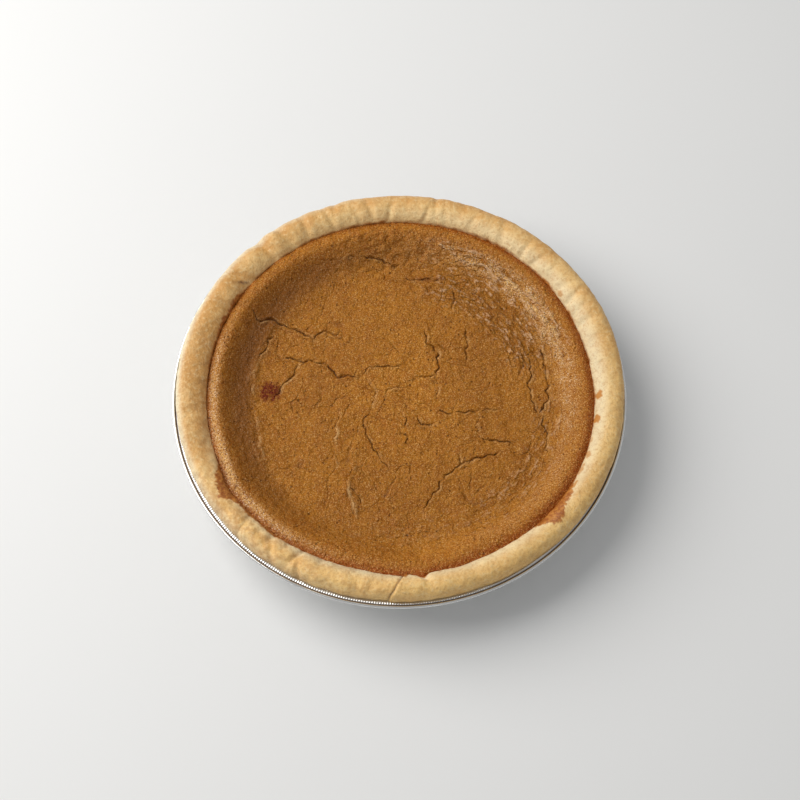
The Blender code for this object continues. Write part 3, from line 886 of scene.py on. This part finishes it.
def make_crust(material):
    angle = (np.arange(CRUST_COLUMNS) * math.tau / CRUST_COLUMNS)[None, :]
    rest = TIN_DEPTH + GAP
    foot_angle = math.asin((rest - ROLL_CENTRE_HEIGHT) / ROLL_RADIUS)
    even, along_x, along_y, oval = RIM_OUT
    out = even + along_x * np.cos(angle) + along_y * np.sin(angle) + oval * np.cos(2 * angle)
    meet = contact_radius(angle) + 0.25 * round_noise(noise_c, angle, 40, 2.2)
    meet_height = contact_height(angle) + 0.5

    outer = np.linspace(1.0, TOP_SHARE, OUTER_ROWS)[:, None]
    inner = np.linspace(TOP_SHARE, 0.0, INNER_ROWS + 1)[1:][:, None]
    share = np.concatenate([outer, inner])
    turn = np.interp(share, (0, TOP_SHARE, 1), (math.pi, math.pi / 2, foot_angle))
    is_inner = share < TOP_SHARE
    lean_out = LEFT_LEAN * bell(angle, 195, 58)
    top_radius = ROLL_CENTRE_RADIUS + out * 0.6 + lean_out
    wide = np.where(is_inner, top_radius - meet, ROLL_RADIUS + out * 0.4 - lean_out)
    base_height = np.where(is_inner, meet_height, ROLL_CENTRE_HEIGHT)
    tall = ROLL_CENTRE_HEIGHT + ROLL_RADIUS - base_height
    power = 2 / np.where(is_inner, INNER_FULLNESS, OUTER_FULLNESS)
    side_out = np.sign(np.cos(turn)) * np.abs(np.cos(turn)) ** power
    side_up = np.sign(np.sin(turn)) * np.abs(np.sin(turn)) ** power
    arc_radius = top_radius + wide * side_out
    arc_height = base_height + tall * side_up
    lean = np.hypot(tall * np.cos(turn), wide * np.sin(turn))
    relief, past = rim_relief(angle, share)
    relief = relief * smooth_step(1.0, 0.93, share) * smooth_step(0.0, 0.1, share)
    arc_radius = arc_radius + relief * tall * np.cos(turn) / lean
    arc_height = arc_height + relief * wide * np.sin(turn) / lean

    outside = [
        (SHELL_HUB, TIN_SHEET + GAP),
        (TIN_FLOOR_RADIUS - 0.8, TIN_SHEET + GAP),
        (TIN_WALL_FOOT_RADIUS - 1.7, 2.3),
        (tin_wall_radius(SHELL_FOOT) - 0.4, SHELL_FOOT),
        (TIN_WALL_TOP_RADIUS - 0.4, TIN_DEPTH - TIN_FLANGE_BEND + 0.1),
        (TIN_WALL_TOP_RADIUS + 0.9, rest),
    ]
    inside = [
        (TIN_WALL_TOP_RADIUS - SHELL_WALL - 0.4, TIN_DEPTH + 0.2),
        (tin_wall_radius(SHELL_BEND) - SHELL_WALL, SHELL_BEND),
        (tin_wall_radius(SHELL_FOOT) - SHELL_WALL - 2.2, SHELL_FLOOR_TOP),
        (SHELL_HUB, SHELL_FLOOR_TOP),
    ]
    flat = np.ones_like(angle)
    radius = np.concatenate([r * flat for r, _ in outside] + [arc_radius] + [r * flat for r, _ in inside])
    height = np.concatenate([z * flat for _, z in outside] + [arc_height] + [z * flat for _, z in inside])
    verts, faces = turned_solid(radius, height, angle, TIN_SHEET + GAP, SHELL_FLOOR_TOP)

    all_shares = np.concatenate([np.ones((len(outside), 1)), share, np.zeros((len(inside), 1))])
    all_past = np.concatenate([past[:1]] * len(outside) + [past] + [past[-1:]] * len(inside))
    across = np.broadcast_to(all_shares, radius.shape)
    layers = {}
    for label, values in pastry_layers(angle, radius, across, meet, all_past).items():
        layers[label] = np.append(np.broadcast_to(values, radius.shape).reshape(-1), [0, 0])
    add_piece("pastry_rim", verts, faces, "crust", material, layers)


def wander_line(points, number):
    """A crack's line, cut to short legs and shaken sideways."""
    points = np.array(points, dtype=float)
    legs = np.linalg.norm(np.diff(points, axis=0), axis=1)
    run = np.concatenate([[0], np.cumsum(legs)])
    places = np.linspace(0, run[-1], max(4, int(run[-1] / CRACK_LEG)))
    line = np.stack([np.interp(places, run, points[:, 0]), np.interp(places, run, points[:, 1])], axis=1)
    along = np.gradient(line, axis=0)
    along /= np.linalg.norm(along, axis=1)[:, None]
    shake = 1.6 * noise_a(places / 4.5, number * 3.7, 0.5) + 0.8 * noise_b(places / 1.6, number * 1.9, 0.5)
    lobes = np.abs(np.sin(places / 2.7 + 2.1 * number + 1.5 * noise_b(places / 7, number * 4.3, 3.5)))
    shake = shake + 1.5 * (lobes - 0.6) * smooth_step(-0.3, 0.25, noise_c(places / 9, number * 2.3, 6.5))
    return line + np.stack([-along[:, 1], along[:, 0]], axis=1) * shake[:, None], places


def crack_fields(x, y):
    """Depth, raised edges, side and strength of the nearest crack, and its edge's painted highlight, at each
    point.
    """
    groove = np.zeros_like(x)
    lift = np.zeros_like(x)
    side = np.full_like(x, 3.0)
    near = np.zeros_like(x)
    pale = np.zeros_like(x)
    for number, (points, half_width, depth, step) in enumerate(CRACKS):
        line, places = wander_line(points, number)
        low = line.min(axis=0) - 8
        high = line.max(axis=0) + 8
        inside = np.nonzero((x > low[0]) & (x < high[0]) & (y > low[1]) & (y < high[1]))[0]
        spot = np.stack([x[inside], y[inside]], axis=1)
        leg = np.diff(line, axis=0)
        away = spot[:, None, :] - line[:-1][None]
        share = np.clip((away * leg).sum(-1) / (leg**2).sum(-1), 0, 1)
        gap = away - share[..., None] * leg
        distance = np.linalg.norm(gap, axis=-1)
        best = distance.argmin(axis=1)
        pick = np.arange(len(inside))
        distance = distance[pick, best]
        leg_best = leg[best]
        away_best = away[pick, best]
        gap_best = gap[pick, best]
        hand = np.sign(leg_best[:, 0] * away_best[:, 1] - leg_best[:, 1] * away_best[:, 0])
        run = places[best] + share[pick, best] * (places[1] - places[0])
        taper = smooth_step(0, 3.5, run) * smooth_step(places[-1], places[-1] - 3.5, run)
        taper = 0.25 + 0.75 * taper
        uneven = np.clip(1.0 + 1.3 * noise_c(run / 3.0, number * 5.1, 0.5), 0.25, 1.8)
        width = 0.3 + half_width * taper * uneven * 0.65
        cut = 0.5 * depth * taper * np.clip(uneven, 0.4, 1.3) * np.clip(1 - distance / width, 0, 1)
        groove[inside] = np.maximum(groove[inside], cut)
        lip = 0.16 * depth * taper * hump(distance, 1.5 * half_width, 0.8)
        rise = step * taper * np.exp(-distance / 3.2) * smooth_step(0.0, half_width * 1.2, distance * hand)
        lift[inside] += lip + rise
        strength = smooth_step(0.15, 1.0, taper * uneven * depth) * smooth_step(2.4, 1.2, distance)
        closer = distance < np.abs(side[inside])
        chosen = inside[closer]
        scaled = distance * hand / np.clip(0.6 * half_width * uneven, 0.28, 0.9)
        side[chosen] = np.clip(scaled[closer], -3, 3)
        near[chosen] = strength[closer]
        # The edge on the side away from the light faces it and gets a painted highlight
        toward = gap_best[:, 0] * LIT_EDGE_SIDE[0] + gap_best[:, 1] * LIT_EDGE_SIDE[1]
        toward = toward / np.maximum(distance, 0.05)
        past_lip = distance - 0.55 - 0.3 * half_width - 0.1 * abs(step)
        edge = hump(past_lip, 0, 0.42 + 0.2 * abs(step)) * taper
        edge = edge * np.clip(toward + 0.25, 0, 1) * np.clip(0.45 + 0.35 * abs(step), 0, 1)
        edge = edge * smooth_step(-0.25, 0.25, noise_b(run / 4.5, number * 2.7, 7.5))
        pale[inside] = np.maximum(pale[inside], edge)
    return groove, lift, side, near, pale


def plate_fields(x, y):
    """The faint cracks between the skin's plates: distance to the nearest, and each plate's own lift."""
    rng = np.random.default_rng(PLATE_SEED)
    spots = rng.uniform(-PLATE_DRAWN, PLATE_DRAWN, size=(PLATE_COUNT, 2))
    spots = spots[np.hypot(spots[:, 0], spots[:, 1]) < PLATE_KEPT]
    lifts = rng.uniform(-PLATE_LIFT, PLATE_LIFT, size=len(spots))
    bent_x = x + 3.2 * noise_a(x / 8, y / 8, 0.3) + 1.1 * noise_b(x / 2.6, y / 2.6, 0.3)
    bent_y = y + 3.2 * noise_a(x / 8, y / 8, 8.3) + 1.1 * noise_b(x / 2.6, y / 2.6, 8.3)
    away = np.hypot(bent_x[:, None] - spots[:, 0], bent_y[:, None] - spots[:, 1])
    order = np.argpartition(away, 1, axis=1)[:, :2]
    pick = np.arange(len(x))[:, None]
    pair = np.sort(away[pick, order], axis=1)
    own = order[pick[:, 0], away[pick, order].argmin(axis=1)]
    return (pair[:, 1] - pair[:, 0]) / 2, lifts[own]


def patch(name, degrees, radius):
    start, end, inner, outer = PATCHES[name]
    share = smooth_step(*start, degrees) * smooth_step(*end, degrees)
    return share * smooth_step(*inner, radius) * smooth_step(*outer, radius)


def filling_top(x, y):
    """Height of the filling's top and its colour layers, at points in millimetres."""
    radius = np.hypot(x, y)
    angle = np.arctan2(y, x)
    edge = contact_radius(angle)
    inward = edge - radius

    # The turned shape, its hollow middle and the rise at its edge
    places, values = smooth_table(TOP_SECTION, TOP_SPREAD)
    wobble = 1.6 * noise_a(x / 30, y / 30, 1.5) * smooth_step(4, 16, inward)
    wobble = wobble + 1.5 * bell(angle, 0, 60) * smooth_step(14, 5, inward) * smooth_step(0, 3, inward)
    wobble = wobble + 1.4 * bell(angle, 165, 42) * smooth_step(24, 12, inward) * smooth_step(0, 1.5, inward)
    height = np.interp(inward + wobble, places, values)
    height = height + 1.5 * bell(angle, 165, 70) * hump(inward, 21.5, 6)
    height = height + 0.5 * bell(angle, 180, 70) * hump(inward, 7, 3)
    height = height + CONTACT_SLOPE * (edge - CONTACT_RADIUS) * smooth_step(8, 0, inward)
    height = height + 1.2 * bell(angle, 125, 35) * hump(inward, 0, 3)

    # Unevenness, from broad to fine
    inner = smooth_step(6, 22, inward)
    broad = noise_a(x / 27, y / 27, 7.7) + 0.5 * noise_b(x / 12, y / 12, 3.3)
    height = height + 0.95 * broad * inner + 0.6 * noise_b(x / 9, y / 9, 5.1) * inner
    height = height + 0.5 * noise_c(x / 5.5, y / 5.5, 4.4) * (0.4 + 0.6 * inner)
    height = height + 0.17 * noise_a(x / 2.4, y / 2.4, 9.1) + 0.09 * noise_b(x / 1.4, y / 1.4, 2.9)

    # Wrinkles that run round the pie, and lumps at the far side
    degrees = np.degrees(angle)
    far_right = patch("far_right", degrees, radius)
    near_right = patch("near_right", degrees, radius)
    near_side = patch("near_side", degrees, radius)
    left_foot = patch("left_foot", np.abs(degrees), radius)
    bent = radius + 1.5 * noise_c(x / 9, y / 9, 6.6)
    ripple = round_noise(noise_b, angle, 11, bent / 2.1) + 0.6 * round_noise(noise_a, angle, 19, bent / 1.25)
    ripples = 0.9 * far_right + 0.4 * near_right + 0.3 * near_side + 0.3 * left_foot
    height = height + ripples * (1.3 * ripple + 0.5 * np.clip(ripple, 0, 1))
    lumps = np.abs(noise_c(x / 6.5, y / 5.0, 1.2)) * 1.6 - 0.3
    height = height + patch("lumps", degrees, radius) * 2.1 * lumps

    # Cracks and faint plates
    groove, lift, side, near, pale = crack_fields(x, y)
    height = height + lift - groove
    plate_edge, plate_lift = plate_fields(x, y)
    shown = smooth_step(-0.15, 0.2, noise_c(x / 19, y / 19, 14.5)) * smooth_step(84, 76, radius)
    height = height + plate_lift * smooth_step(0.2, 2.0, plate_edge) * shown
    height = height - 0.2 * smooth_step(0.7, 0.0, plate_edge) * shown
    faint = 0.52 * shown * smooth_step(1.8, 0.9, plate_edge) * (near < 0.15)
    near = np.maximum(near, faint)
    side = np.where(faint > 0, np.minimum(np.abs(side), plate_edge / 0.4), side)

    # Colour: the redder ring, painted shade at the foot of the left slope, painted sheen on the lit crest
    # and the glossy right slopes, and burnt spots
    lip = 4.5 - 2.2 * bell(angle, 140, 70) + 2.4 * bell(angle, -25, 75)
    ring = (0.9 - 0.5 * bell(angle, 120, 60)) * smooth_step(lip, 0.8, inward)
    ring = 0.2 * smooth_step(20, 9, inward) + ring
    # Painted shade at the foot of the left slope, which faces away from the light, and a slight darkening
    # away from the middle
    foot = 1.25 * bell(angle, 165, 75) * hump(inward, 18, 8.5)
    foot = np.maximum(foot, 0.28 * smooth_step(15, 50, radius) * smooth_step(10, 24, inward))
    # Painted sheen: the crest at the left that faces the light, and the far right and near right slopes that
    # reflect it
    painted_sheen = 1.45 * bell(angle, 203, 38) * hump(inward, 3.6, 2.6)
    streaky = np.clip(0.75 + 1.6 * ripple, 0, 1.7)
    painted_sheen = painted_sheen + 1.7 * streaky * bell(angle, 36, 36) * hump(inward, 13.8, 5.0)
    painted_sheen = painted_sheen + 0.3 * bell(angle, -32, 38) * hump(inward, 11, 5.5)
    burnt = blot(x, y, BURNT_PLACE, BURNT_SIZE, 1.9 * noise_a(x / 1.9, y / 1.9, 5.5))
    burnt = np.clip(2.3 * burnt - 0.4, 0, 1)
    return height, {
        "crack_side": side,
        "crack_near": near,
        "ring": ring,
        "burnt": np.maximum(burnt, blot(x, y, RED_PLACE, RED_SIZE) * 0.4),
        "wrinkled": np.clip(far_right + 0.6 * near_right + 0.2 * near_side + 0.08 * left_foot, 0, 1),
        "painted_sheen": painted_sheen * (1 + 0.9 * noise_c(x / 6, y / 6, 11.5)),
        "foot": foot,
        "pale": pale,
        "fold_place": np.stack([np.cos(angle) * 13, np.sin(angle) * 13, bent / 1.9], axis=-1),
    }


def disc_grid(cells):
    """A square grid of points bent to a disc of radius 1, and its quads."""
    a, b = np.meshgrid(np.linspace(-1, 1, cells + 1), np.linspace(-1, 1, cells + 1), indexing="ij")
    wide = np.abs(a) > np.abs(b)
    safe_a = np.where(a == 0, 1.0, a)
    safe_b = np.where(b == 0, 1.0, b)
    size = np.where(wide, a, b)
    angle = np.where(wide, math.pi / 4 * b / safe_a, math.pi / 2 - math.pi / 4 * a / safe_b)
    width = cells + 1
    faces = []
    for row in range(cells):
        for here in range(row * width, row * width + cells):
            faces.append((here, here + width, here + width + 1, here + 1))
    return (size * np.cos(angle)).reshape(-1), (size * np.sin(angle)).reshape(-1), faces


def make_filling(material):
    cells = FILLING_CELLS
    unit_x, unit_y, faces = disc_grid(cells)
    edge = contact_radius(np.arctan2(unit_y, unit_x)) + 0.2
    x = unit_x * edge
    y = unit_y * edge
    height, layers = filling_top(x, y)
    verts = np.stack([x, y, height], axis=1)

    width = cells + 1
    above = [c * width for c in range(cells)]
    above += [cells * width + c for c in range(cells)]
    above += [c * width + cells for c in range(cells, 0, -1)]
    above += list(range(cells, 0, -1))
    angle = np.arctan2(y[above], x[above])
    count = len(above)
    foot_height = SHELL_FLOOR_TOP + GAP
    section = [
        (TIN_WALL_TOP_RADIUS - SHELL_WALL - 0.8, TIN_DEPTH + 0.2),
        (tin_wall_radius(SHELL_BEND) - SHELL_WALL - 0.4, SHELL_BEND + 0.1),
        (tin_wall_radius(SHELL_FOOT) - SHELL_WALL - 2.5, foot_height),
    ]
    for radius, level in section:
        first = len(verts)
        row = np.stack([radius * np.cos(angle), radius * np.sin(angle), np.full(count, level)], axis=1)
        verts = np.concatenate([verts, row])
        below = list(range(first, first + count))
        for column in range(count):
            other = (column + 1) % count
            faces.append((above[column], below[column], below[other], above[other]))
        above = below
    centre = len(verts)
    verts = np.concatenate([verts, [[0, 0, foot_height]]])
    for column in range(count):
        faces.append((above[(column + 1) % count], above[column], centre))

    hidden = {"crack_side": 3.0, "ring": 1.0}
    for label, values in layers.items():
        rest = np.full((len(verts) - len(x), *values.shape[1:]), hidden.get(label, 0.0))
        layers[label] = np.concatenate([values, rest])
    add_piece("custard_filling", verts, faces, "filling", material, layers)


def make_stage():
    bpy.ops.mesh.primitive_plane_add(size=FLOOR_SIZE, location=(0, 0, -FLOOR_DROP))
    floor = bpy.context.active_object
    floor.name = "floor"
    m = Nodes("pale_floor")
    m.set("Base Color", m.mix(m.noise(4, 2), *FLOOR_COLOURS))
    m.set("Roughness", 0.6)
    m.set("Specular IOR Level", 0.2)
    floor.data.materials.append(m.material)


def make_light():
    scene = bpy.context.scene
    world = bpy.data.worlds.new("soft_room")
    scene.world = world
    world.use_nodes = True
    sky = world.node_tree.nodes["Background"]
    sky.inputs["Color"].default_value = SKY_COLOUR
    sky.inputs["Strength"].default_value = SKY_STRENGTH
    key = bpy.data.lights.new("key", "AREA")
    key.shape = "DISK"
    key.size = KEY_SIZE
    key.energy = KEY_POWER
    key.color = KEY_COLOUR
    lamp = bpy.data.objects.new("key", key)
    scene.collection.objects.link(lamp)
    turn = math.radians(KEY_DIRECTION)
    rise = math.radians(KEY_RISE)
    toward = np.array([math.cos(turn) * math.cos(rise), math.sin(turn) * math.cos(rise), math.sin(rise)])
    lamp.location = toward * KEY_DISTANCE
    lamp.rotation_euler = (math.pi / 2 - rise, 0, turn + math.pi / 2)
    scene.view_settings.view_transform = "Standard"
    scene.view_settings.look = "None"


def make_camera():
    camera = bpy.data.cameras.new("camera")
    camera.lens = CAMERA_LENS
    camera.sensor_width = CAMERA_SENSOR
    camera.clip_start = CAMERA_NEAR
    eye = bpy.data.objects.new("camera", camera)
    eye.location = CAMERA_PLACE
    eye.rotation_euler = (math.radians(CAMERA_TILT), 0, 0)
    bpy.context.scene.collection.objects.link(eye)
    bpy.context.scene.camera = eye


make_camera()
make_tin(foil_material())
make_crust(pastry_material())
make_filling(custard_material())
make_stage()
make_light()
